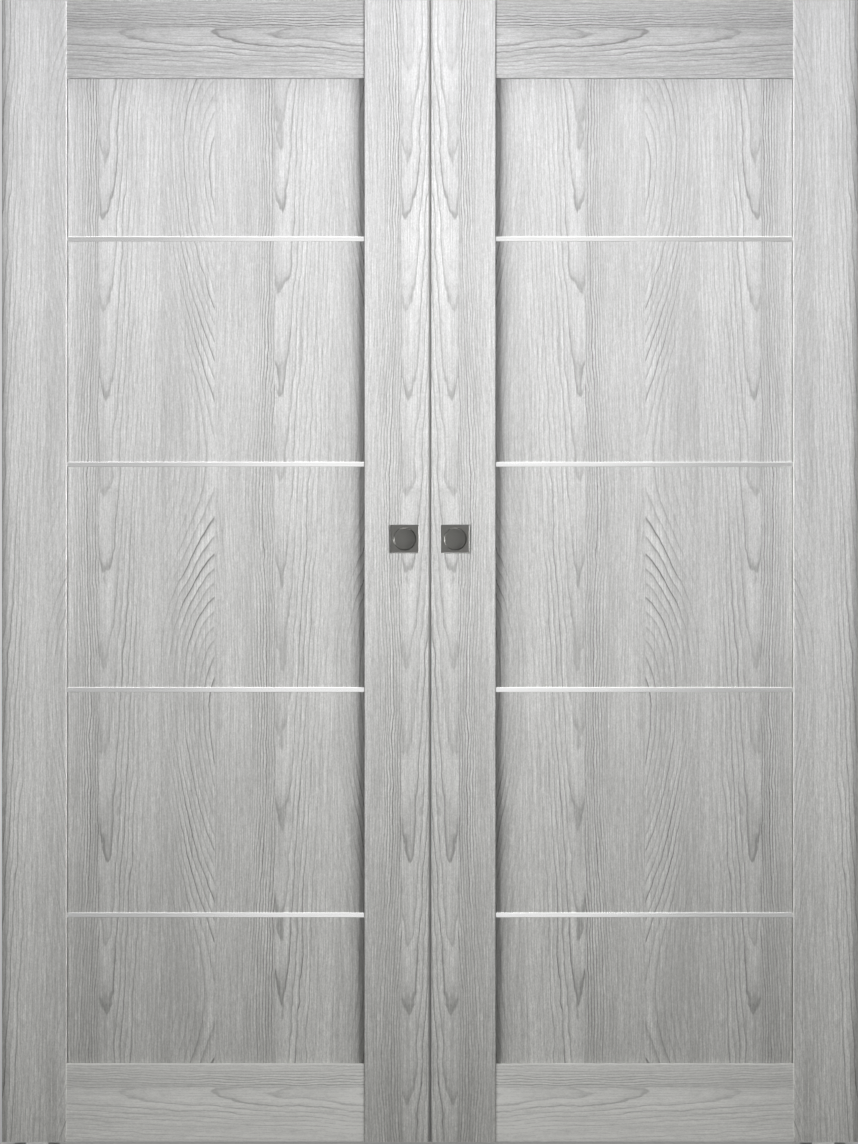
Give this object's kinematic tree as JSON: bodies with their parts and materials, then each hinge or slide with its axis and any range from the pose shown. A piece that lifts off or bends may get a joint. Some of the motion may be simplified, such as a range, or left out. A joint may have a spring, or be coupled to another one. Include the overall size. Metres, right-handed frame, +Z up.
{
  "type": "double sliding door",
  "caption": "Pair of bi-parting stile-and-rail sliding leaves in grey ash laminate, with metal strips, square flush pulls, overhead track, trolleys and floor guides.",
  "frame": {"origin": "on the floor, under the middle of the closed pair", "axes": "+X along the track to the right leaf, front faces towards -Y, +Z up"},
  "size_m": [3.048, 0.045, 2.0912],
  "materials": {
    "ash_frame": "matt grey ash laminate",
    "ash_panel": "matt grey ash laminate",
    "strip_metal": "satin anodised",
    "pull_metal": "satin grey",
    "track_metal": "natural anodised",
    "zinc": "zinc plated",
    "steel": "zinc plated",
    "nylon": "moulded",
    "rubber": "matt",
    "dowel_wood": "bare beech",
    "seal_pile": "grey pile",
    "guide_plastic": "moulded"
  },
  "bodies": {
    "header": {"track": "track_metal", "end_stop_left": "zinc", "end_stop_right": "zinc", "centre_stop": "zinc", "end_bumpers": "rubber", "centre_bumpers": "rubber", "stop_grub_screws": "steel", "floor_guide_left": "guide_plastic", "floor_guide_right": "guide_plastic"},
    "left_leaf": {"left_axles": "steel", "left_dowels": "dowel_wood", "left_hanger_bolts": "steel", "left_hanger_plates": "steel", "left_inner_trolley": "zinc", "left_lock_nuts": "steel", "left_meeting_seals": "seal_pile", "left_outer_trolley": "zinc", "left_panel": "ash_panel", "left_plate_screws": "steel", "left_pull_back": "pull_metal", "left_pull_front": "pull_metal", "left_pull_screws": "steel", "left_rail_bottom": "ash_frame", "left_rail_top": "ash_frame", "left_stile_meeting": "ash_frame", "left_stile_outer": "ash_frame", "left_strip_front_1": "strip_metal", "left_strip_front_2": "strip_metal", "left_strip_front_3": "strip_metal", "left_strip_front_4": "strip_metal", "left_strips_back": "strip_metal"},
    "left_outer_wheels_a": {"left_outer_wheels_a": "nylon"},
    "left_outer_wheels_b": {"left_outer_wheels_b": "nylon"},
    "left_inner_wheels_a": {"left_inner_wheels_a": "nylon"},
    "left_inner_wheels_b": {"left_inner_wheels_b": "nylon"},
    "right_leaf": {"right_axles": "steel", "right_dowels": "dowel_wood", "right_hanger_bolts": "steel", "right_hanger_plates": "steel", "right_inner_trolley": "zinc", "right_lock_nuts": "steel", "right_outer_trolley": "zinc", "right_panel": "ash_panel", "right_plate_screws": "steel", "right_pull_back": "pull_metal", "right_pull_front": "pull_metal", "right_pull_screws": "steel", "right_rail_bottom": "ash_frame", "right_rail_top": "ash_frame", "right_stile_meeting": "ash_frame", "right_stile_outer": "ash_frame", "right_strip_front_1": "strip_metal", "right_strip_front_2": "strip_metal", "right_strip_front_3": "strip_metal", "right_strip_front_4": "strip_metal", "right_strips_back": "strip_metal"},
    "right_outer_wheels_a": {"right_outer_wheels_a": "nylon"},
    "right_outer_wheels_b": {"right_outer_wheels_b": "nylon"},
    "right_inner_wheels_a": {"right_inner_wheels_a": "nylon"},
    "right_inner_wheels_b": {"right_inner_wheels_b": "nylon"}
  },
  "joints": [
    {"name": "left_leaf_slide", "type": "slide", "parent": "header", "child": "left_leaf", "axis": [-1, 0, 0], "range_m": [0, 0.659]},
    {"name": "left_outer_wheels_a_spin", "type": "hinge", "parent": "left_leaf", "child": "left_outer_wheels_a", "pos_m": [-0.7075, 0, 2.0747], "axis": [0, 1, 0], "continuous": true},
    {"name": "left_outer_wheels_b_spin", "type": "hinge", "parent": "left_leaf", "child": "left_outer_wheels_b", "pos_m": [-0.6755, 0, 2.0747], "axis": [0, 1, 0], "continuous": true},
    {"name": "left_inner_wheels_a_spin", "type": "hinge", "parent": "left_leaf", "child": "left_inner_wheels_a", "pos_m": [-0.0885, 0, 2.0747], "axis": [0, 1, 0], "continuous": true},
    {"name": "left_inner_wheels_b_spin", "type": "hinge", "parent": "left_leaf", "child": "left_inner_wheels_b", "pos_m": [-0.0565, 0, 2.0747], "axis": [0, 1, 0], "continuous": true},
    {"name": "right_leaf_slide", "type": "slide", "parent": "header", "child": "right_leaf", "axis": [1, 0, 0], "range_m": [0, 0.659]},
    {"name": "right_outer_wheels_a_spin", "type": "hinge", "parent": "right_leaf", "child": "right_outer_wheels_a", "pos_m": [0.6755, 0, 2.0747], "axis": [0, 1, 0], "continuous": true},
    {"name": "right_outer_wheels_b_spin", "type": "hinge", "parent": "right_leaf", "child": "right_outer_wheels_b", "pos_m": [0.7075, 0, 2.0747], "axis": [0, 1, 0], "continuous": true},
    {"name": "right_inner_wheels_a_spin", "type": "hinge", "parent": "right_leaf", "child": "right_inner_wheels_a", "pos_m": [0.0565, 0, 2.0747], "axis": [0, 1, 0], "continuous": true},
    {"name": "right_inner_wheels_b_spin", "type": "hinge", "parent": "right_leaf", "child": "right_inner_wheels_b", "pos_m": [0.0885, 0, 2.0747], "axis": [0, 1, 0], "continuous": true}
  ],
  "couplings": [
    {"joint": "left_outer_wheels_a_spin", "follows": "left_leaf_slide", "rad_per_m": -100},
    {"joint": "left_outer_wheels_b_spin", "follows": "left_leaf_slide", "rad_per_m": -100},
    {"joint": "left_inner_wheels_a_spin", "follows": "left_leaf_slide", "rad_per_m": -100},
    {"joint": "left_inner_wheels_b_spin", "follows": "left_leaf_slide", "rad_per_m": -100},
    {"joint": "right_outer_wheels_a_spin", "follows": "right_leaf_slide", "rad_per_m": 100},
    {"joint": "right_outer_wheels_b_spin", "follows": "right_leaf_slide", "rad_per_m": 100},
    {"joint": "right_inner_wheels_a_spin", "follows": "right_leaf_slide", "rad_per_m": 100},
    {"joint": "right_inner_wheels_b_spin", "follows": "right_leaf_slide", "rad_per_m": 100}
  ]
}
